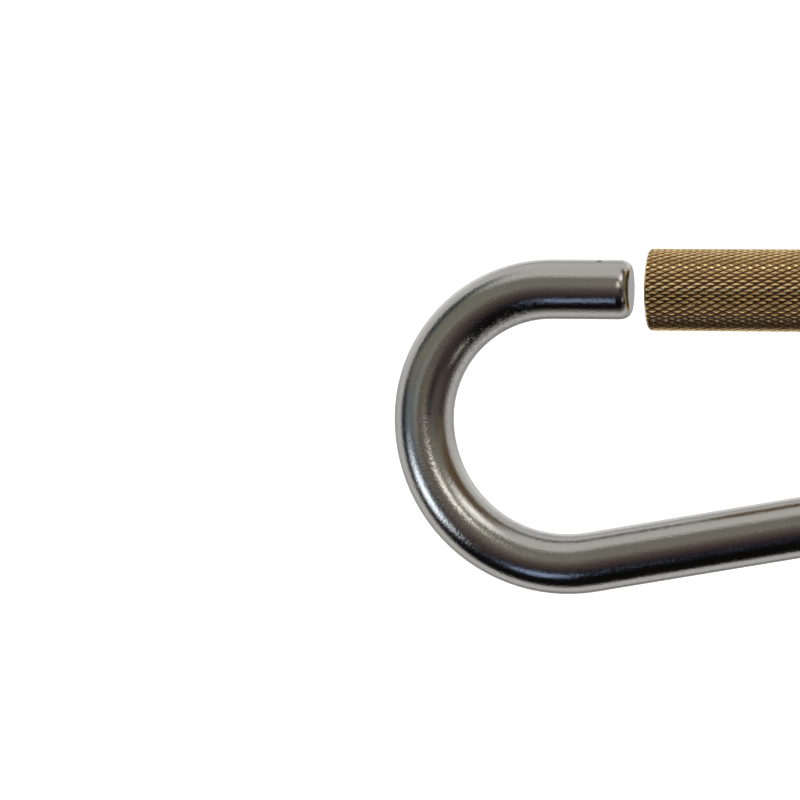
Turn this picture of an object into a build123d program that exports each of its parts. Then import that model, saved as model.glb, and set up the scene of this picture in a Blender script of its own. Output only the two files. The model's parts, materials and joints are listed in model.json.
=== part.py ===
from build123d import *

import os
from math import cos, radians, sin, tan

# Screw-locking carabiner bent from round bar, in millimetres.
# The bar lies in the XZ plane. The origin is the centre of the large bend, +X runs along the
# gate towards the hinge, +Z goes from the spine to the gate, and Y is the bar's thickness.
# The knurled sleeve stands screwed back, clear of the nose, with the gate closed.

# Bar and outline
bar_r = 5.0
spine_bend_r = 24.4  # large bend on the spine side, to the bar's centreline
gate_bend_r = 21.4  # large bend on the gate side
small_bend_r = 17.0
spine_angle = 10.4  # between the spine and the gate, in degrees
nose_x = 10.4  # flat end of the nose
nose_round_length = 2.0
nose_round_depth = 1.4

# Hinge
hinge_x = 54.0
ear_r = bar_r
tongue_half_width = 2.0
tongue_half_height = 4.6
slot_half_width = 2.1
slot_depth = 6.6  # from the hinge axis to the bottom of the gate's slot
stop_gap = 0.1  # between the square corner of the ears and the frame's shoulder
rivet_r = 2.0
rivet_play = 0.06
rivet_head_r = 2.8
rivet_cone_start = 4.1
rivet_cone_end = 4.9
rivet_dome = 0.4
tongue_top_r = 4.0
cam_rise = 3.0  # plunger travel for each radian of gate travel
cam_angle = 40.0
cam_steps = 6

# Gate arm and the plunger in its spring bore
gate_gap = 4.3  # from the nose to the tip of the gate
tip_r = 3.7
tip_chamfer = 0.6
thread_root_r = 3.75
shoulder_x = 34.1
shoulder_chamfer = 0.4
spring_bore_r = 1.55
spring_bore_end = 27.0
plunger_r = 1.45
plunger_reach = 4.35  # from the hinge axis to the plunger's tip, gate closed
plunger_length = 8.1
plunger_chamfer = 0.2
plunger_play = 0.08
spring_wire_r = 0.3
spring_coil_r = 1.15
spring_turns = 10
spring_play = 0.05

# Sleeve
sleeve_gap = 3.0  # from the nose to the mouth of the sleeve
sleeve_r = 6.9
sleeve_length = 32.5
rim_chamfer = 0.5
mouth_r = 5.2
mouth_depth = 12.5
land_r = 4.0
land_length = 8.0
tail_r = 5.15
lead_in = 0.4

# Trapezoidal thread, right-handed
pitch = 2.0
flank = tan(radians(15))
thread_crest_r = 4.95
thread_crest_width = 0.6
thread_start = 17.7
thread_turns = 8
thread_radial_play = 0.16
thread_flank_play = 0.15
thread_overlap = 0.2

# Split rings of round spring wire
ring_sweep = 325.0  # degrees of wire, the rest is the split
ring_play = 0.1
stop_ring_x = 16.3
stop_ring_wire_r = 0.55
stop_ring_inner_r = 3.2
drag_ring_offset = 30.7  # from the mouth of the sleeve
drag_ring_wire_r = 0.45
drag_ring_inner_r = 5.03

# Worked out from the sizes above
gate_z = gate_bend_r
gate_bend_x = gate_bend_r - spine_bend_r
slope = radians(spine_angle)
small_bend_z = gate_z - small_bend_r
small_bend_x = (spine_bend_r - small_bend_r + cos(slope) * small_bend_z) / sin(slope)
small_bend_start = 270 + spine_angle
frame_end_x = hinge_x + ear_r + stop_gap
tip_x = nose_x + gate_gap
slot_x = hinge_x - slot_depth
sleeve_x = nose_x + sleeve_gap
sleeve_end = sleeve_x + sleeve_length
land_start = sleeve_x + mouth_depth
land_end = land_start + land_length

gate_axis = Axis((0, 0, gate_z), (1, 0, 0))
rivet_axis = Axis((hinge_x, 0, gate_z), (0, 1, 0))
gate_profile = Plane((0, 0, gate_z), x_dir=(1, 0, 0), z_dir=(0, -1, 0))
hinge_plane = Plane((hinge_x, 0, gate_z), x_dir=(1, 0, 0), z_dir=(0, -1, 0))
rivet_profile = Plane((hinge_x, 0, gate_z))


def across_gate(x, facing=1):
    """The plane square to the gate's axis at x, with its normal along +X or -X."""
    return Plane((x, 0, gate_z), x_dir=(0, 1, 0), z_dir=(facing, 0, 0))


def cam_point(angle):
    """The point of the tongue that the plunger's ball end touches at this gate angle."""
    turn = radians(angle)
    reach = plunger_reach + plunger_r + cam_rise * turn
    ball = Vector(-reach * cos(turn), -reach * sin(turn))
    along = Vector(-cam_rise, -reach).rotate(Axis.Z, angle)
    return ball + along.rotate(Axis.Z, 90).normalized() * (plunger_r + plunger_play)


def helical_rib(start_x, turns, crest_width, crest_r, root_r):
    """A trapezoidal rib wound right-handed round the gate's axis from start_x towards +X."""
    mean_r = (crest_r + root_r) / 2
    root_width = crest_width + 2 * (crest_r - root_r) * flank
    with BuildPart() as rib:
        with BuildLine(across_gate(start_x)) as coil:
            Helix(pitch, turns * pitch, mean_r, direction=(1, 0, 0))
        outward = coil.line @ 0 - Vector(start_x, 0, gate_z)
        with BuildSketch(Plane(coil.line @ 0, x_dir=outward, z_dir=coil.line % 0)):
            with BuildLine():
                Polyline(
                    (root_r - mean_r, -root_width / 2),
                    (crest_r - mean_r, -crest_width / 2),
                    (crest_r - mean_r, crest_width / 2),
                    (root_r - mean_r, root_width / 2),
                    close=True,
                )
            make_face()
        sweep(path=coil.line, is_frenet=True)
    return rib.part


def split_ring(centre_x, wire_r, inner_r):
    """A ring of round wire on the gate's axis, open at its split."""
    with BuildPart() as ring:
        with BuildSketch(gate_profile):
            with Locations((centre_x, inner_r + wire_r)):
                Circle(wire_r)
        revolve(axis=gate_axis, revolution_arc=ring_sweep)
    return ring.part


os.makedirs("parts", exist_ok=True)

# Tongue: the flattened end of the bar, with the cam that the plunger presses on
with BuildPart() as tongue:
    with BuildSketch(hinge_plane):
        with BuildLine():
            back_x = frame_end_x - hinge_x + 1
            cam = Spline([cam_point(cam_angle * step / cam_steps) for step in range(cam_steps + 1)])
            top = CenterArc((0, 0), tongue_top_r, 90, 90)
            Polyline(
                cam @ 1,
                (-tongue_top_r / 2, -tongue_half_height),
                (back_x, -tongue_half_height),
                (back_x, tongue_half_height),
                (tongue_top_r / 2, tongue_half_height),
                top @ 0,
            )
            Line(top @ 1, cam @ 0)
        make_face()
    extrude(amount=tongue_half_width, both=True)
    with BuildSketch(across_gate(hinge_x - 2 * bar_r)):
        Circle(bar_r)
    extrude(amount=4 * bar_r, mode=Mode.INTERSECT)

# Frame: one bent bar, with a plain rounded nose at one end and the tongue at the other
with BuildPart() as frame_bar:
    nose_shoulder = nose_x - nose_round_length
    with BuildLine(Plane.XZ) as route:
        Line((nose_shoulder, gate_z), (gate_bend_x, gate_z))
        CenterArc((gate_bend_x, 0), gate_bend_r, 90, 90)
        large = CenterArc((0, 0), spine_bend_r, 180, small_bend_start - 180)
        small = CenterArc(
            (small_bend_x, small_bend_z), small_bend_r, small_bend_start, 450 - small_bend_start
        )
        Line(large @ 1, small @ 0)
        Line((small_bend_x, gate_z), (frame_end_x, gate_z))
    with BuildSketch(across_gate(nose_shoulder, -1)):
        Circle(bar_r)
    sweep(path=route.line)
    with BuildSketch(gate_profile):
        with BuildLine():
            lip = bar_r - nose_round_depth
            EllipticalCenterArc(
                (nose_shoulder, lip), nose_round_length, nose_round_depth, 0, arc_size=90
            )
            Polyline((nose_shoulder, bar_r), (nose_shoulder, 0), (nose_x, 0), (nose_x, lip))
        make_face()
    revolve(axis=gate_axis)
    add(tongue.part)
    with BuildSketch(hinge_plane):
        Circle(rivet_r + rivet_play)
    extrude(amount=bar_r, both=True, mode=Mode.SUBTRACT)
frame_bar.part.label = "frame_bar"
export_step(frame_bar.part, "parts/frame_bar.step")

# Gate arm: turned bar with a screw thread, a stop-ring groove, a spring bore and a fork
groove_front = stop_ring_x - stop_ring_wire_r - ring_play
groove_back = stop_ring_x + stop_ring_wire_r + ring_play
gate_thread = helical_rib(
    thread_start, thread_turns, thread_crest_width, thread_crest_r, thread_root_r - thread_overlap
)
with BuildPart() as gate_arm:
    with BuildSketch(gate_profile):
        with BuildLine():
            Polyline(
                (tip_x, 0),
                (tip_x, tip_r - tip_chamfer),
                (tip_x + tip_chamfer, tip_r),
                (groove_front, tip_r),
                (groove_front, stop_ring_inner_r - ring_play),
                (groove_back, stop_ring_inner_r - ring_play),
                (groove_back, thread_root_r),
                (shoulder_x, thread_root_r),
                (shoulder_x, bar_r - shoulder_chamfer),
                (shoulder_x + shoulder_chamfer, bar_r),
                (hinge_x + ear_r, bar_r),
                (hinge_x + ear_r, 0),
                close=True,
            )
        make_face()
    revolve(axis=gate_axis)
    add(gate_thread)
    # The thread starts on a cone
    with BuildSketch(gate_profile):
        with BuildLine():
            cone = bar_r - thread_root_r
            Polyline(
                (groove_back, thread_root_r),
                (groove_back + cone, bar_r),
                (groove_back, bar_r),
                close=True,
            )
        make_face()
    revolve(axis=gate_axis, mode=Mode.SUBTRACT)
    with BuildSketch(across_gate(slot_x)):
        Rectangle(2 * slot_half_width, 4 * bar_r)
    extrude(amount=slot_depth + 2 * ear_r, mode=Mode.SUBTRACT)
    with BuildSketch(across_gate(slot_x, -1)):
        Circle(spring_bore_r)
    extrude(amount=slot_x - spring_bore_end, mode=Mode.SUBTRACT)
    # The ears are round below the hinge, and square above it where they meet the shoulder
    with BuildSketch(hinge_plane):
        Rectangle(2 * ear_r, 2 * ear_r, align=(Align.MIN, Align.MAX))
        Circle(ear_r, mode=Mode.SUBTRACT)
    extrude(amount=2 * bar_r, both=True, mode=Mode.SUBTRACT)
    with BuildSketch(rivet_profile):
        with BuildLine():
            Polyline(
                (0, -bar_r - 1),
                (rivet_head_r, -bar_r - 1),
                (rivet_head_r, -rivet_cone_end),
                (rivet_r, -rivet_cone_start),
                (rivet_r, rivet_cone_start),
                (rivet_head_r, rivet_cone_end),
                (rivet_head_r, bar_r + 1),
                (0, bar_r + 1),
                close=True,
            )
        make_face()
    revolve(axis=rivet_axis, mode=Mode.SUBTRACT)
gate_arm.part.label = "gate_arm"
export_step(gate_arm.part, "parts/gate_arm.step")

# Hinge rivet: both ends are peened into domed, countersunk heads
with BuildPart() as hinge_rivet:
    with BuildSketch(rivet_profile):
        with BuildLine():
            dome_end = rivet_cone_end + rivet_dome
            Polyline(
                (rivet_head_r, rivet_cone_end),
                (rivet_r, rivet_cone_start),
                (rivet_r, -rivet_cone_start),
                (rivet_head_r, -rivet_cone_end),
            )
            TangentArc((0, -dome_end), (rivet_head_r, -rivet_cone_end), tangent=(1, 0))
            TangentArc((0, dome_end), (rivet_head_r, rivet_cone_end), tangent=(1, 0))
            Line((0, -dome_end), (0, dome_end))
        make_face()
    revolve(axis=rivet_axis)
hinge_rivet.part.label = "hinge_rivet"
export_step(hinge_rivet.part, "parts/hinge_rivet.step")

# Plunger: the spring pushes it out of the gate's bore against the cam
plunger_tip = hinge_x - plunger_reach
plunger_back = plunger_tip - plunger_length
with BuildPart() as gate_plunger:
    with BuildSketch(gate_profile):
        with BuildLine():
            dome = CenterArc((plunger_tip - plunger_r, 0), plunger_r, 0, 90)
            Polyline(
                dome @ 1,
                (plunger_back + plunger_chamfer, plunger_r),
                (plunger_back, plunger_r - plunger_chamfer),
                (plunger_back, 0),
                dome @ 0,
            )
        make_face()
    revolve(axis=gate_axis)
gate_plunger.part.label = "gate_plunger"
export_step(gate_plunger.part, "parts/gate_plunger.step")

# Gate spring: a coil between the blind end of the bore and the plunger
spring_start = spring_bore_end + spring_wire_r + spring_play
spring_length = plunger_back - spring_wire_r - spring_play - spring_start
with BuildPart() as gate_spring:
    with BuildLine(across_gate(spring_start)) as spring_coil:
        Helix(spring_length / spring_turns, spring_length, spring_coil_r, direction=(1, 0, 0))
    with BuildSketch(Plane(spring_coil.line @ 0, z_dir=spring_coil.line % 0)):
        Circle(spring_wire_r)
    sweep(path=spring_coil.line, is_frenet=True)
gate_spring.part.label = "gate_spring"
export_step(gate_spring.part, "parts/gate_spring.step")

# Locking sleeve: bored for the nose in front, threaded in the middle, plain behind
ring_x = sleeve_x + drag_ring_offset
ring_half = drag_ring_wire_r + ring_play
ring_groove_r = drag_ring_inner_r + 2 * drag_ring_wire_r + ring_play
thread_phase = round((land_start - pitch - thread_start) / pitch)
sleeve_thread = helical_rib(
    thread_start + pitch * thread_phase,
    land_length / pitch + 2,
    thread_crest_width + thread_flank_play,
    thread_crest_r + thread_radial_play,
    land_r - thread_overlap,
)
with BuildPart() as lock_sleeve:
    with BuildSketch(gate_profile):
        with BuildLine():
            Polyline(
                (sleeve_x, mouth_r + lead_in),
                (sleeve_x, sleeve_r - rim_chamfer),
                (sleeve_x + rim_chamfer, sleeve_r),
                (sleeve_end - rim_chamfer, sleeve_r),
                (sleeve_end, sleeve_r - rim_chamfer),
                (sleeve_end, tail_r + lead_in),
                (sleeve_end - lead_in, tail_r),
                (ring_x + ring_half, tail_r),
                (ring_x + ring_half, ring_groove_r),
                (ring_x - ring_half, ring_groove_r),
                (ring_x - ring_half, tail_r),
                (land_end, tail_r),
                (land_end, land_r + lead_in),
                (land_end - lead_in, land_r),
                (land_start + lead_in, land_r),
                (land_start, land_r + lead_in),
                (land_start, mouth_r),
                (sleeve_x + lead_in, mouth_r),
                close=True,
            )
        make_face()
    revolve(axis=gate_axis)
    add(sleeve_thread, mode=Mode.SUBTRACT)
lock_sleeve.part.label = "lock_sleeve"
export_step(lock_sleeve.part, "parts/lock_sleeve.step")

# Stop ring: keeps the sleeve's thread from running off the tip of the gate
with BuildPart() as tip_stop_ring:
    add(split_ring(stop_ring_x, stop_ring_wire_r, stop_ring_inner_r))
tip_stop_ring.part.label = "tip_stop_ring"
export_step(tip_stop_ring.part, "parts/tip_stop_ring.step")

# Drag ring: rides in the tail of the sleeve and rubs on the gate, so the sleeve stays put
with BuildPart() as sleeve_drag_ring:
    add(split_ring(ring_x, drag_ring_wire_r, drag_ring_inner_r))
sleeve_drag_ring.part.label = "sleeve_drag_ring"
export_step(sleeve_drag_ring.part, "parts/sleeve_drag_ring.step")

overall_length = small_bend_x + small_bend_r + spine_bend_r + 2 * bar_r
print("overall length", round(overall_length, 1), "small bend centre", round(small_bend_x, 2))
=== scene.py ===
import json
import math

import bpy
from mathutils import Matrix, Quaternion, Vector


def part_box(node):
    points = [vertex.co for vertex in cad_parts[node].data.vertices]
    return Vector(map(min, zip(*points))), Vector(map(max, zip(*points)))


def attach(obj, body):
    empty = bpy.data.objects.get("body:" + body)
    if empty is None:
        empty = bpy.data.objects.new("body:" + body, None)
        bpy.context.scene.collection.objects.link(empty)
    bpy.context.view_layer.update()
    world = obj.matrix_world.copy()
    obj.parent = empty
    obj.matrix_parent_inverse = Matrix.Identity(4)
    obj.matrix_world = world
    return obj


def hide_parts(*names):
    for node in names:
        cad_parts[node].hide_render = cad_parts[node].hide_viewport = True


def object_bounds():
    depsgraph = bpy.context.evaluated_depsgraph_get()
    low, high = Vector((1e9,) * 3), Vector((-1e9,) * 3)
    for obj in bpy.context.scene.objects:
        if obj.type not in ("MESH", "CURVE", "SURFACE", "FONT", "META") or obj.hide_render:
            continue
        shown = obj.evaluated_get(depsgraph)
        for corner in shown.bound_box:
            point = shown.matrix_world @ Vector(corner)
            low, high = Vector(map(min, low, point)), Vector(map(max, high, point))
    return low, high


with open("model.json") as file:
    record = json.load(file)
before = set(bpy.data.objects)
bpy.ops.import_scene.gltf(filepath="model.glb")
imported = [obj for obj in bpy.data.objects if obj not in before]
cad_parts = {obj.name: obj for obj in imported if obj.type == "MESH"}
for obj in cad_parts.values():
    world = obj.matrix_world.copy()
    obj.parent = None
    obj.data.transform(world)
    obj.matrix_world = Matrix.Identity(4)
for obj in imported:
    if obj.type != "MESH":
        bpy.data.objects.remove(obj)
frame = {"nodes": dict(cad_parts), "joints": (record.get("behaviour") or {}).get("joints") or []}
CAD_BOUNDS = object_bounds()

bl_info = {
    "name": "Screw-lock carabiner",
    "version": (1, 0, 0),
    "blender": (4, 5, 0),
    "location": "3D View > Sidebar > Carabiner",
    "description": "Finishes a bent-bar carabiner with a knurled brass sleeve round its CAD frame",
    "category": "Object",
}

MM = 0.001
NODES = frame["nodes"]
HINGE = Vector(next(j for j in frame["joints"] if j["name"] == "gate_hinge")["pos_m"])
AXIS_Z = HINGE.z
SLEEVE_LOW, SLEEVE_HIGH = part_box("lock_sleeve")
BAR_LOW, BAR_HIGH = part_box("frame_bar")
SLEEVE_R = (SLEEVE_HIGH.z - SLEEVE_LOW.z) / 2
BAR_R = BAR_HIGH.y
SPINE_BEND_R = -BAR_LOW.z - BAR_R

# The bar's finish. Scales of patterns are in repeats for each metre.
DULLER = 0.9  # the duller steel, beside the brightest
SPECKLE_FINENESS = 1.9  # how much finer the speckle is than the peel
MARKS_REACH = 1.6 * MM  # how far the bending marks come out from the inside of the large bend
MARKS_FROM_X = -2 * MM
MARKS_FULL_X = -9 * MM
CREASE_SCALE = 1400
CREASE_ROUND = 0.02  # stretches the creases round the bend
CREASE_ACROSS = 0.5  # stretches them across the bar
NICK = (5.2 * MM, -0.39 * BAR_R, AXIS_Z + 0.92 * BAR_R)
NICK_CORE = 0.25 * MM
NICK_EDGE = 0.6 * MM
NICK_COLOUR = (0.08, 0.075, 0.07)

# The gate, the rivet and the wire
TURNING_SCALE = 9000
TURNED_ROUGHNESS = 0.16
DENT_SIZE = 0.9 * MM
DENT_SOFTNESS = 0.6
DENT_DEPTH = 0.07 * MM
PEENED_SHADE = 0.95
PEENED_ROUGHNESS = 0.2
PEENED_GRAIN_SCALE = 4200
GRIME_FROM_R = 2.2 * MM
GRIME_FULL_R = 2.75 * MM
GRIME_COLOUR = (0.09, 0.08, 0.07)
WIRE_SCALE = 5200
WIRE_DARK = 0.55
WIRE_BRIGHT = 0.85
WIRE_ROUGHNESS = 0.24
WIRE_DEPTH = 0.004 * MM

# The brass. A knurling wheel's grooves lie half a diamond from the rows' start. The grooves of
# one wheel get more of the groove colour: painted shade, for the light that misses one slope.
GROOVE_PHASE = 0.5
GROOVE_TOP = 0.35  # where the tarnish ends, as a share of the groove's depth
OUTSIDE_DEPTH = 1.4  # anything deeper than this many grooves is a bore or an end
# Where the painted shade along one wheel's grooves is full and where it has faded, then its weight there
# and elsewhere
GROOVE_CORE = 0.1
GROOVE_EDGE = 0.3
LIT_GROOVE_WEIGHT = 0.6
SHADED_GROOVE_WEIGHT = 1.4
BRASS_ROUGHNESS = 0.12
BRASS_DULLER = 0.88
BLOTCH_SCALE = 420
BRASS_GRAIN_SCALE = 6500
BORE_RING_SCALE = 11000
BORE_RING_SLOPE = 0.35
BRASS_DEPTH = 0.006 * MM
CROWN_CLEARANCE = 0.03 * MM  # keeps the knurl's crowns inside the sleeve's radius
END_FACING = 0.5  # a face whose normal leans this far along X is an end of the rod
MERGE_GAP = 0.001 * MM
SMOOTH_ANGLE = math.radians(20)

# The stage
WHITE = (1.0, 1.0, 1.0)
ROOM_STRENGTH = 1.32
FLOOR_SIZE = 6
FLOOR_DULLER = 0.98
FLOOR_SCALE = 3.0
SENSOR_WIDTH = 36
NEAREST_SEEN = 0.01

# Where a node that mixes two colours takes them, and where it gives the result
MIX_INPUTS = (6, 7)
MIX_RESULT = 2


# ---------------------------------------------------------------- settings

class BarProperties(bpy.types.PropertyGroup):
    steel_colour: bpy.props.FloatVectorProperty(
        name="Steel colour", description="Colour of the plated steel where it mirrors white",
        subtype="COLOR", size=3, min=0, max=1, default=(0.5, 0.49, 0.47))
    polish: bpy.props.FloatProperty(
        name="Polish roughness", description="Roughness of the polished bar", min=0, max=1, default=0.13)
    peel_size: bpy.props.FloatProperty(
        name="Peel size", description="Width of the plating's shallow waves",
        unit="LENGTH", min=0.0001, default=0.4 * MM)
    peel_depth: bpy.props.FloatProperty(
        name="Peel depth", description="Depth of the plating's shallow waves",
        unit="LENGTH", min=0, default=0.034 * MM)


class SleeveProperties(bpy.types.PropertyGroup):
    brass_colour: bpy.props.FloatVectorProperty(
        name="Brass colour", description="Colour of the bright brass",
        subtype="COLOR", size=3, min=0, max=1, default=(0.98, 0.73, 0.37))
    groove_colour: bpy.props.FloatVectorProperty(
        name="Groove colour", description="Colour of the tarnish in the knurl's grooves",
        subtype="COLOR", size=3, min=0, max=1, default=(0.2, 0.085, 0.03))
    diamonds_round: bpy.props.IntProperty(
        name="Diamonds round", description="Diamonds in one ring of the knurl", min=8, default=42)
    diamond_length: bpy.props.FloatProperty(
        name="Diamond length", description="Length of one diamond along the sleeve",
        unit="LENGTH", min=0.0001, default=2.13 * MM)
    groove_depth: bpy.props.FloatProperty(
        name="Groove depth", description="Depth of the knurl's grooves",
        unit="LENGTH", min=0, default=0.2 * MM)
    crown_share: bpy.props.FloatProperty(
        name="Crown share", description="Width of a diamond's flat crown, as a share of the diamond",
        subtype="FACTOR", min=0, max=1, default=0.08)


class StageProperties(bpy.types.PropertyGroup):
    azimuth: bpy.props.FloatProperty(
        name="Azimuth", description="How far the camera stands towards the hinge end",
        subtype="ANGLE", default=math.radians(11.73))
    elevation: bpy.props.FloatProperty(
        name="Elevation", description="How far the camera looks down",
        subtype="ANGLE", default=math.radians(-1.55))
    roll: bpy.props.FloatProperty(
        name="Roll", description="How far the camera leans",
        subtype="ANGLE", default=math.radians(0.98))
    distance: bpy.props.FloatProperty(
        name="Distance", description="From the camera to its aim",
        unit="LENGTH", min=0.05, default=0.717)
    view_width: bpy.props.FloatProperty(
        name="View width", description="Width of the view at the aim",
        unit="LENGTH", min=0.01, default=0.1344)
    aim: bpy.props.FloatVectorProperty(
        name="Aim", description="The point in the middle of the picture",
        subtype="XYZ", size=3, default=(-28.6 * MM, 0, 2.6 * MM))
    floor_drop: bpy.props.FloatProperty(
        name="Floor drop", description="From the lowest point of the carabiner to the floor",
        unit="LENGTH", min=0, default=0.05)
    floor_colour: bpy.props.FloatVectorProperty(
        name="Floor colour", description="Colour of the floor",
        subtype="COLOR", size=3, min=0, max=1, default=(0.9, 0.9, 0.9))


# ---------------------------------------------------------------- shader kit

class Number:
    """A shader socket that holds a number, for use in plain arithmetic."""

    def __init__(self, graph, socket):
        self.graph = graph
        self.socket = socket

    def _maths(self, operation, *values):
        node = self.graph.add("ShaderNodeMath", {"operation": operation}, dict(enumerate(values)))
        return Number(self.graph, node.outputs[0])

    def __add__(self, other):
        return self._maths("ADD", self, other)

    def __radd__(self, other):
        return self._maths("ADD", other, self)

    def __sub__(self, other):
        return self._maths("SUBTRACT", self, other)

    def __rsub__(self, other):
        return self._maths("SUBTRACT", other, self)

    def __mul__(self, other):
        return self._maths("MULTIPLY", self, other)

    def __rmul__(self, other):
        return self._maths("MULTIPLY", other, self)

    def __truediv__(self, other):
        return self._maths("DIVIDE", self, other)

    def __rtruediv__(self, other):
        return self._maths("DIVIDE", other, self)

    def __gt__(self, other):
        return self._maths("GREATER_THAN", self, other)

    def root(self):
        return self._maths("SQRT", self)

    def size(self):
        return self._maths("ABSOLUTE", self)

    def fraction(self):
        return self._maths("FRACT", self)

    def angle_from(self, other):
        return self._maths("ARCTAN2", self, other)

    def ramp(self, low, high, at_low=0.0, at_high=1.0):
        """Runs smoothly from at_low to at_high as this number goes from low to high."""
        node = self.graph.add(
            "ShaderNodeMapRange", {"interpolation_type": "SMOOTHSTEP"},
            {"Value": self, "From Min": low, "From Max": high, "To Min": at_low, "To Max": at_high})
        return Number(self.graph, node.outputs["Result"])


class Graph:
    """A node tree, filled by one method that adds any node."""

    def __init__(self, tree):
        self.tree = tree
        tree.nodes.clear()

    def add(self, kind, settings=None, inputs=None):
        node = self.tree.nodes.new(kind)
        for name, value in (settings or {}).items():
            if name == "stops":
                self._set_stops(node.color_ramp, value)
            else:
                setattr(node, name, value)
        for name, value in (inputs or {}).items():
            if isinstance(value, Number):
                value = value.socket
            if isinstance(value, bpy.types.NodeSocket):
                self.tree.links.new(value, node.inputs[name])
            else:
                node.inputs[name].default_value = value
        return node

    @staticmethod
    def _set_stops(ramp, stops):
        for stop in stops[2:]:
            ramp.elements.new(stop[0])
        for element, (place, colour) in zip(ramp.elements, stops):
            element.position = place
            element.color = (*colour, 1)

    def place(self):
        """The object's own coordinates, as a vector."""
        return self.add("ShaderNodeTexCoord").outputs["Object"]

    def parts(self, vector):
        """The x, y and z of a vector, as numbers."""
        split = self.add("ShaderNodeSeparateXYZ", inputs={0: vector})
        return [Number(self, socket) for socket in split.outputs]

    def along(self, vector, direction):
        """How far the vector reaches along a direction."""
        node = self.add("ShaderNodeVectorMath", {"operation": "DOT_PRODUCT"}, {0: vector, 1: direction})
        return Number(self, node.outputs["Value"])

    def gap(self, vector, place):
        """How far the vector is from a place."""
        node = self.add("ShaderNodeVectorMath", {"operation": "DISTANCE"}, {0: vector, 1: place})
        return Number(self, node.outputs["Value"])

    def joined(self, x, y, z):
        return self.add("ShaderNodeCombineXYZ", inputs={0: x, 1: y, 2: z}).outputs[0]

    def noise(self, vector, scale, detail=2.0, roughness=0.5):
        node = self.add(
            "ShaderNodeTexNoise",
            inputs={"Vector": vector, "Scale": scale, "Detail": detail, "Roughness": roughness})
        return Number(self, node.outputs["Fac"])

    def blend(self, share, first, second):
        """A colour between two colours."""
        node = self.add("ShaderNodeMix", {"data_type": "RGBA"}, {"Factor": share})
        for place, colour in zip(MIX_INPUTS, (first, second)):
            socket = node.inputs[place]
            if isinstance(colour, bpy.types.NodeSocket):
                self.tree.links.new(colour, socket)
            else:
                socket.default_value = (*colour, 1)
        return node.outputs[MIX_RESULT]

    def bump(self, height, distance):
        node = self.add(
            "ShaderNodeBump", inputs={"Height": height, "Distance": distance, "Strength": 1.0})
        return node.outputs[0]

    def metal(self, colour, roughness, normal):
        """Ends the tree in a bare metal."""
        shader = self.add(
            "ShaderNodeBsdfPrincipled",
            inputs={"Base Color": colour, "Metallic": 1.0, "Roughness": roughness, "Normal": normal})
        self.add("ShaderNodeOutputMaterial", inputs={"Surface": shader.outputs[0]})


def shade(colour, share=1.0):
    """A setting's colour, darkened to a share of itself."""
    return tuple(share * part for part in colour)


def new_material(name):
    material = bpy.data.materials.new(name)
    material.use_nodes = True
    return material, Graph(material.node_tree)


# ---------------------------------------------------------------- finishes

def polished_steel(bar):
    """Plated steel: bright, faintly wavy, with fine rubbing marks and bending marks."""
    material, g = new_material("polished_steel")
    vector = g.place()
    x, y, z = g.parts(vector)
    peel = g.noise(vector, 1 / bar.peel_size, 3.0, 0.55)
    speckle = g.noise(vector, SPECKLE_FINENESS / bar.peel_size, 3.0, 0.7)
    across = (x * x + z * z).root()
    inside_r = SPINE_BEND_R - BAR_R
    in_bend = across.ramp(inside_r + MARKS_REACH, inside_r)
    left = x.ramp(MARKS_FROM_X, MARKS_FULL_X)
    # The angle is measured from -X, so that its jump falls away from the bend
    round_bend = z.angle_from(x * -1)
    along_marks = g.joined(round_bend * CREASE_ROUND, y * CREASE_ACROSS, across)
    creases = g.noise(along_marks, CREASE_SCALE, 4.0, 0.7)
    marks = in_bend * left * creases.ramp(0.45, 0.7)
    height = peel + speckle * 0.4 + marks * 0.8
    rough = bar.polish + speckle.ramp(0.35, 0.8) * 0.05 + marks * 0.12
    colour = g.blend(
        speckle.ramp(0.3, 0.75), shade(bar.steel_colour, DULLER), shade(bar.steel_colour))
    nick = g.gap(vector, NICK).ramp(NICK_CORE, NICK_EDGE, 1.0, 0.0)
    colour = g.blend(nick * speckle.ramp(0.3, 0.5), colour, NICK_COLOUR)
    g.metal(colour, rough, g.bump(height, bar.peel_depth))
    return material


def turned_steel(bar):
    """The same plating over the fine rings that turning leaves round the gate."""
    material, g = new_material("turned_steel")
    vector = g.place()
    x = g.parts(vector)[0]
    rings = g.noise(g.joined(x, 0.0, 0.0), TURNING_SCALE, 2.0, 0.6)
    peel = g.noise(vector, 1 / bar.peel_size, 2.0, 0.5)
    colour = g.blend(
        rings.ramp(0.3, 0.7), shade(bar.steel_colour, DULLER), shade(bar.steel_colour))
    g.metal(colour, TURNED_ROUGHNESS + rings * 0.1, g.bump(rings * 0.5 + peel, bar.peel_depth))
    return material


def peened_steel(bar):
    """A rivet head as the hammer leaves it: small flats round the middle, duller than the bar."""
    material, g = new_material("peened_steel")
    vector = g.place()
    x, _, z = g.parts(vector)
    along = x - HINGE.x
    up = z - AXIS_Z
    radius = (along * along + up * up).root()
    dents = g.add(
        "ShaderNodeTexVoronoi", {"feature": "SMOOTH_F1"},
        {"Vector": vector, "Scale": 1 / DENT_SIZE, "Smoothness": DENT_SOFTNESS})
    flats = Number(g, dents.outputs["Distance"])
    grime = radius.ramp(GRIME_FROM_R, GRIME_FULL_R)
    grain = g.noise(vector, PEENED_GRAIN_SCALE, 2.0, 0.6)
    colour = g.blend(grime * 0.7, shade(bar.steel_colour, PEENED_SHADE), GRIME_COLOUR)
    rough = PEENED_ROUGHNESS + grain * 0.12 + grime * 0.15
    g.metal(colour, rough, g.bump(flats + grain * 0.15, DENT_DEPTH))
    return material


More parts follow.
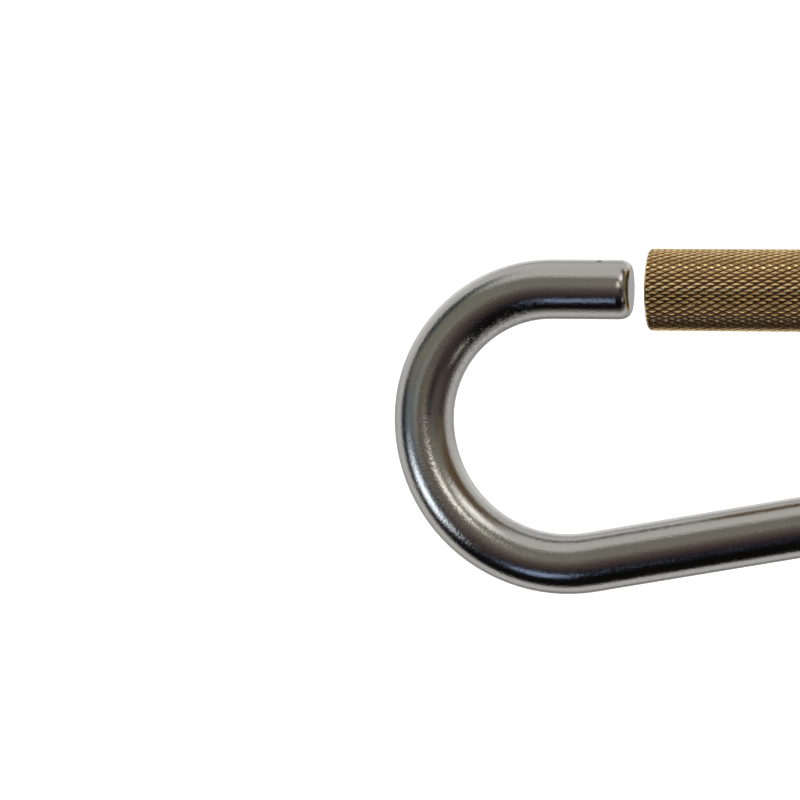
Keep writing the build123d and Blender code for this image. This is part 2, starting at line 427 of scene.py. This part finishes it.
def spring_wire(bar):
    """Hard-drawn wire: darker, with marks along it."""
    material, g = new_material("spring_wire")
    grain = g.noise(g.place(), WIRE_SCALE, 3.0, 0.6)
    colour = g.blend(
        grain, shade(bar.steel_colour, WIRE_DARK), shade(bar.steel_colour, WIRE_BRIGHT))
    g.metal(colour, WIRE_ROUGHNESS + grain * 0.14, g.bump(grain, WIRE_DEPTH))
    return material


def knurled_brass(sleeve):
    """Bright brass: tarnished in the grooves, with painted shade along one wheel's grooves, rubbed on
    the crowns, with turned ends and bores.
    """
    material, g = new_material("knurled_brass")
    vector = g.place()
    x, y, z = g.parts(vector)
    up = z - AXIS_Z
    radius = (y * y + up * up).root()
    depth = sleeve.groove_depth
    in_groove = radius.ramp(SLEEVE_R - depth, SLEEVE_R - GROOVE_TOP * depth, 1.0, 0.0)
    outside = radius > SLEEVE_R - OUTSIDE_DEPTH * depth
    turn = up.angle_from(y) * (sleeve.diamonds_round / (2 * math.pi))
    row = (x - (SLEEVE_LOW.x + SLEEVE_HIGH.x) / 2) / sleeve.diamond_length
    from_groove = ((turn + row).fraction() - GROOVE_PHASE).size()
    # Painted shade: one wheel's grooves take more of the groove colour than the other's, standing for
    # the light that misses one slope of each diamond
    one_way_painted_shade = from_groove.ramp(GROOVE_CORE, GROOVE_EDGE, SHADED_GROOVE_WEIGHT, LIT_GROOVE_WEIGHT)
    blotch = g.noise(vector, BLOTCH_SCALE, 3.0, 0.6)
    grain = g.noise(vector, BRASS_GRAIN_SCALE, 2.0, 0.6)
    rings = g.noise(g.joined(radius, x * BORE_RING_SLOPE, 0.0), BORE_RING_SCALE, 2.0, 0.6)
    # Patina in the grooves, made heavier along one wheel's grooves as painted shade
    patina_and_painted_shade = in_groove * outside * one_way_painted_shade * (0.55 + blotch * 0.6)
    worn = g.blend(
        blotch.ramp(0.35, 0.7), shade(sleeve.brass_colour), shade(sleeve.brass_colour, BRASS_DULLER))
    colour = g.blend(patina_and_painted_shade, worn, shade(sleeve.groove_colour))
    rough = BRASS_ROUGHNESS + patina_and_painted_shade * 0.35 + grain * 0.1 + (1 - outside) * 0.1
    height = grain * 0.4 + rings * (1 - outside)
    g.metal(colour, rough, g.bump(height, BRASS_DEPTH))
    return material


# ---------------------------------------------------------------- modelling kit

def deselect_all():
    if bpy.context.mode != "OBJECT":
        bpy.ops.object.mode_set(mode="OBJECT")
    bpy.ops.object.select_all(action="DESELECT")


def activate(piece):
    deselect_all()
    piece.select_set(True)
    bpy.context.view_layer.objects.active = piece


def edit(piece):
    activate(piece)
    bpy.ops.object.mode_set(mode="EDIT")
    bpy.ops.mesh.select_all(action="DESELECT")


def select_parts(piece, kind, wanted):
    """In edit mode, selects the vertices, edges or faces of the piece that pass a test."""
    bpy.ops.mesh.select_all(action="DESELECT")
    bpy.ops.mesh.select_mode(type=kind)
    bpy.ops.object.mode_set(mode="OBJECT")
    mesh = piece.data
    items = {"VERT": mesh.vertices, "EDGE": mesh.edges, "FACE": mesh.polygons}[kind]
    for item in items:
        item.select = bool(wanted(item))
    bpy.ops.object.mode_set(mode="EDIT")


def apply_modifiers(piece):
    activate(piece)
    for modifier in list(piece.modifiers):
        bpy.ops.object.modifier_apply(modifier=modifier.name)


def settle(piece, name):
    """Names a piece and puts its place into its mesh."""
    activate(piece)
    bpy.ops.object.transform_apply(location=True, rotation=True, scale=True)
    piece.name = name
    piece.data.name = name


def give(piece, material):
    piece.data.materials.clear()
    piece.data.materials.append(material)


def merged_copy(node, name):
    """A copy of a CAD node with its loose triangles joined."""
    copy = NODES[node].copy()
    copy.data = NODES[node].data.copy()
    copy.parent = None
    for key in list(copy.keys()):
        del copy[key]
    bpy.context.scene.collection.objects.link(copy)
    copy.name = name
    edit(copy)
    bpy.ops.mesh.customdata_custom_splitnormals_clear()
    bpy.ops.mesh.select_all(action="SELECT")
    bpy.ops.mesh.remove_doubles(threshold=MERGE_GAP)
    bpy.ops.object.mode_set(mode="OBJECT")
    return copy


def knurled_blank(sleeve):
    """A solid rod, a little longer than the sleeve, with the diamond knurl all over its side."""
    sides = 2 * sleeve.diamonds_round
    row = sleeve.diamond_length / 2
    length = SLEEVE_HIGH.x - SLEEVE_LOW.x
    rows = 2 * math.ceil(length / sleeve.diamond_length) + 2
    start = (SLEEVE_LOW.x + SLEEVE_HIGH.x - rows * row) / 2
    valley_r = SLEEVE_R - CROWN_CLEARANCE - sleeve.groove_depth
    deselect_all()
    bpy.ops.mesh.primitive_circle_add(
        vertices=sides, radius=valley_r, location=(start, 0, AXIS_Z), rotation=(0, math.radians(90), 0))
    blank = bpy.context.object
    bpy.ops.object.transform_apply(location=True, rotation=True, scale=True)
    bpy.ops.object.mode_set(mode="EDIT")
    bpy.ops.mesh.select_all(action="SELECT")
    for _ in range(rows):
        bpy.ops.mesh.extrude_region_move(TRANSFORM_OT_translate={"value": (row, 0, 0)})
    bpy.ops.mesh.select_all(action="SELECT")
    bpy.ops.mesh.unsubdivide(iterations=1)
    bpy.ops.mesh.fill_holes(sides=0)
    bpy.ops.mesh.select_all(action="SELECT")
    bpy.ops.mesh.normals_make_consistent(inside=False)
    select_parts(blank, "FACE", lambda f: abs(f.normal.x) < END_FACING)
    half_round = math.pi * valley_r / sleeve.diamonds_round
    inscribed = half_round * row / math.hypot(half_round, row)
    bpy.ops.mesh.inset(
        use_individual=True, thickness=inscribed * (1 - sleeve.crown_share), depth=sleeve.groove_depth)
    bpy.ops.object.mode_set(mode="OBJECT")
    return blank


class CARABINER_OT_knurled_sleeve(bpy.types.Operator):
    """Cuts the diamond knurl into the brass locking sleeve"""

    bl_idname = "carabiner.knurled_sleeve"
    bl_label = "Knurled sleeve"

    def execute(self, context):
        settings = context.scene.carabiner_sleeve
        blank = knurled_blank(settings)
        turned = merged_copy("lock_sleeve", "turned_sleeve")
        cut = blank.modifiers.new("bores_and_ends", "BOOLEAN")
        cut.operation = "INTERSECT"
        cut.solver = "EXACT"
        cut.object = turned
        apply_modifiers(blank)
        bpy.data.objects.remove(turned)
        settle(blank, "knurled_sleeve")
        give(blank, knurled_brass(settings))
        bpy.ops.object.shade_smooth_by_angle(angle=SMOOTH_ANGLE)
        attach(blank, "sleeve")
        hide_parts("lock_sleeve")
        return {"FINISHED"}


class CARABINER_OT_bent_bar(bpy.types.Operator):
    """Plates and polishes the bent bar and the rivet that holds the gate to it"""

    bl_idname = "carabiner.bent_bar"
    bl_label = "Bent bar"

    def execute(self, context):
        settings = context.scene.carabiner_bar
        NODES["frame_bar"].material_slots[0].material = polished_steel(settings)
        NODES["hinge_rivet"].material_slots[0].material = peened_steel(settings)
        return {"FINISHED"}


class CARABINER_OT_gate(bpy.types.Operator):
    """Finishes the turned gate"""

    bl_idname = "carabiner.gate"
    bl_label = "Gate"

    def execute(self, context):
        NODES["gate_arm"].material_slots[0].material = turned_steel(context.scene.carabiner_bar)
        return {"FINISHED"}


class CARABINER_OT_wire_parts(bpy.types.Operator):
    """Finishes the spring, its plunger and the two wire rings"""

    bl_idname = "carabiner.wire_parts"
    bl_label = "Spring, plunger and rings"

    def execute(self, context):
        wire = spring_wire(context.scene.carabiner_bar)
        for node in ("gate_spring", "gate_plunger", "tip_stop_ring", "sleeve_drag_ring"):
            NODES[node].material_slots[0].material = wire
        return {"FINISHED"}


# ---------------------------------------------------------------- stage

# Soft patches in the room that the metal mirrors. Each has an azimuth (0 is the camera's side,
# positive towards the hinge end) and a height in degrees, the angles where it is full and where
# it has faded out, and its colour.
PATCHES = (
    (-91, 0, 12, 18, (0.018, 0.028, 0.045)),
    (-97, 40, 12, 30, (0.03, 0.045, 0.04)),
    (-60, -4, 9, 20, (0.15, 0.18, 0.2)),
    (-37, 3, 3, 9, (0.34, 0.36, 0.34)),
    (-6, 0, 3, 7, (0.24, 0.21, 0.18)),
    (16, -6, 8, 12, (0.02, 0.018, 0.018)),
    (45, -3, 12, 18, (0.1, 0.085, 0.078)),
    (68, -4, 6, 13, (0.05, 0.033, 0.028)),
    (84, 40, 22, 44, (0.13, 0.075, 0.04)),
    (-34, -46, 2, 8, (0.7, 0.9, 1.35)),
    (-68, -19, 4, 14, (1.9, 2.15, 2.4)),
    (1, 16, 2.5, 7, (3.2, 3.1, 2.9)),
    (45, -36, 1.5, 7, (0.9, 0.85, 0.75)),
    (24, 41, 7, 15, (1.5, 1.48, 1.4)),
)
ROOM_HEIGHTS = (
    (0.0, (0.005, 0.005, 0.004)),
    (0.17, (0.006, 0.006, 0.008)),
    (0.25, (0.035, 0.028, 0.033)),
    (0.33, (0.07, 0.05, 0.045)),
    (0.43, (0.1, 0.075, 0.066)),
    (0.5, (0.12, 0.11, 0.09)),
    (0.6, (0.23, 0.215, 0.17)),
    (0.835, (0.2, 0.195, 0.16)),
    (0.87, (0.6, 0.6, 0.57)),
    (1.0, (0.58, 0.58, 0.54)),
)
BACKDROP_TILT = (0.1, 1.0, 0.12)
BACKDROP_LIGHT = (0.61, 0.61, 0.6)
BACKDROP_EDGE = (0.07, 0.14)  # how far behind the object the room ends and the backdrop starts
BACKDROP_DEEP = (0.5, 0.75)
BACKDROP_HEIGHTS = (
    (0.0, (0.14, 0.14, 0.14)),
    (0.2, (0.16, 0.16, 0.165)),
    (0.32, (0.36, 0.355, 0.34)),
    (0.46, (0.42, 0.42, 0.42)),
    (0.58, (0.42, 0.42, 0.42)),
    (0.64, (0.7, 0.7, 0.68)),
    (0.82, (0.85, 0.85, 0.83)),
    (0.87, (0.36, 0.37, 0.37)),
    (1.0, (0.4, 0.41, 0.41)),
)


def studio_world(turn):
    """A white backdrop, and the dim room in front of it that only the metal mirrors."""
    world = bpy.data.worlds.new("studio")
    world.use_nodes = True
    g = Graph(world.node_tree)
    direction = g.add("ShaderNodeTexCoord").outputs["Generated"]
    turned = g.add(
        "ShaderNodeVectorRotate", {"rotation_type": "Z_AXIS"},
        {"Vector": direction, "Angle": -turn}).outputs[0]
    height = g.parts(turned)[2] * 0.5 + 0.5
    room = g.add("ShaderNodeValToRGB", {"stops": ROOM_HEIGHTS}, {"Fac": height}).outputs[0]
    for azimuth, rise, full, faded, colour in PATCHES:
        azimuth, rise = math.radians(azimuth), math.radians(rise)
        towards = (
            math.sin(azimuth) * math.cos(rise), -math.cos(azimuth) * math.cos(rise), math.sin(rise))
        facing = g.along(turned, towards)
        share = facing.ramp(math.cos(math.radians(faded)), math.cos(math.radians(full)))
        room = g.blend(share, room, colour)
    behind = g.along(turned, BACKDROP_TILT)
    deep = g.add("ShaderNodeValToRGB", {"stops": BACKDROP_HEIGHTS}, {"Fac": height}).outputs[0]
    backdrop = g.blend(behind.ramp(*BACKDROP_DEEP), BACKDROP_LIGHT, deep)
    room = g.blend(behind.ramp(*BACKDROP_EDGE), room, backdrop)
    glossy = Number(g, g.add("ShaderNodeLightPath").outputs["Is Glossy Ray"])
    colour = g.blend(glossy, WHITE, room)
    background = g.add("ShaderNodeBackground", inputs={"Color": colour, "Strength": ROOM_STRENGTH})
    g.add("ShaderNodeOutputWorld", inputs={"Surface": background.outputs[0]})
    return world


class CARABINER_OT_stage(bpy.types.Operator):
    """Sets the pale floor, the soft light and the camera"""

    bl_idname = "carabiner.stage"
    bl_label = "Stage"

    def execute(self, context):
        stage = context.scene.carabiner_stage
        scene = context.scene
        scene.world = studio_world(stage.azimuth)
        scene.view_settings.view_transform = "Standard"
        deselect_all()
        floor_z = CAD_BOUNDS[0][2] - stage.floor_drop
        bpy.ops.mesh.primitive_plane_add(size=FLOOR_SIZE, location=(0, 0, floor_z))
        floor = context.object
        settle(floor, "floor")
        material, g = new_material("pale_floor")
        tone = g.noise(g.place(), FLOOR_SCALE)
        colour = g.blend(
            tone, shade(stage.floor_colour, FLOOR_DULLER), shade(stage.floor_colour))
        shader = g.add("ShaderNodeBsdfDiffuse", inputs={"Color": colour})
        g.add("ShaderNodeOutputMaterial", inputs={"Surface": shader.outputs[0]})
        give(floor, material)
        floor.visible_glossy = False

        aim = Vector(stage.aim)
        away = Vector((
            math.sin(stage.azimuth) * math.cos(stage.elevation),
            -math.cos(stage.azimuth) * math.cos(stage.elevation),
            math.sin(stage.elevation)))
        bpy.ops.object.camera_add(location=aim + away * stage.distance)
        camera = context.object
        camera.name = "camera"
        level = away.to_track_quat("Z", "Y")
        camera.rotation_euler = (level @ Quaternion((0, 0, 1), stage.roll)).to_euler()
        camera.data.sensor_width = SENSOR_WIDTH
        camera.data.lens = SENSOR_WIDTH * stage.distance / stage.view_width
        camera.data.clip_start = NEAREST_SEEN
        scene.camera = camera
        return {"FINISHED"}


class CARABINER_PT_panel(bpy.types.Panel):
    """Lists the carabiner's parts and their settings"""

    bl_idname = "CARABINER_PT_panel"
    bl_label = "Carabiner"
    bl_space_type = "VIEW_3D"
    bl_region_type = "UI"
    bl_category = "Carabiner"

    def draw(self, context):
        scene = context.scene
        for settings in (scene.carabiner_bar, scene.carabiner_sleeve, scene.carabiner_stage):
            box = self.layout.box()
            for name in settings.__annotations__:
                box.prop(settings, name)
        for operator in OPERATORS:
            self.layout.operator(operator.bl_idname)


OPERATORS = (
    CARABINER_OT_bent_bar,
    CARABINER_OT_gate,
    CARABINER_OT_wire_parts,
    CARABINER_OT_knurled_sleeve,
    CARABINER_OT_stage,
)
SETTINGS = {
    "carabiner_bar": BarProperties,
    "carabiner_sleeve": SleeveProperties,
    "carabiner_stage": StageProperties,
}


def register():
    for cls in (*SETTINGS.values(), *OPERATORS, CARABINER_PT_panel):
        bpy.utils.register_class(cls)
    for name, cls in SETTINGS.items():
        setattr(bpy.types.Scene, name, bpy.props.PointerProperty(type=cls))


def unregister():
    for name in SETTINGS:
        delattr(bpy.types.Scene, name)
    for cls in reversed((*SETTINGS.values(), *OPERATORS, CARABINER_PT_panel)):
        bpy.utils.unregister_class(cls)


def main():
    register()
    bpy.ops.carabiner.bent_bar()
    bpy.ops.carabiner.gate()
    bpy.ops.carabiner.wire_parts()
    bpy.ops.carabiner.knurled_sleeve()
    bpy.ops.carabiner.stage()


if __name__ == "__main__":
    main()
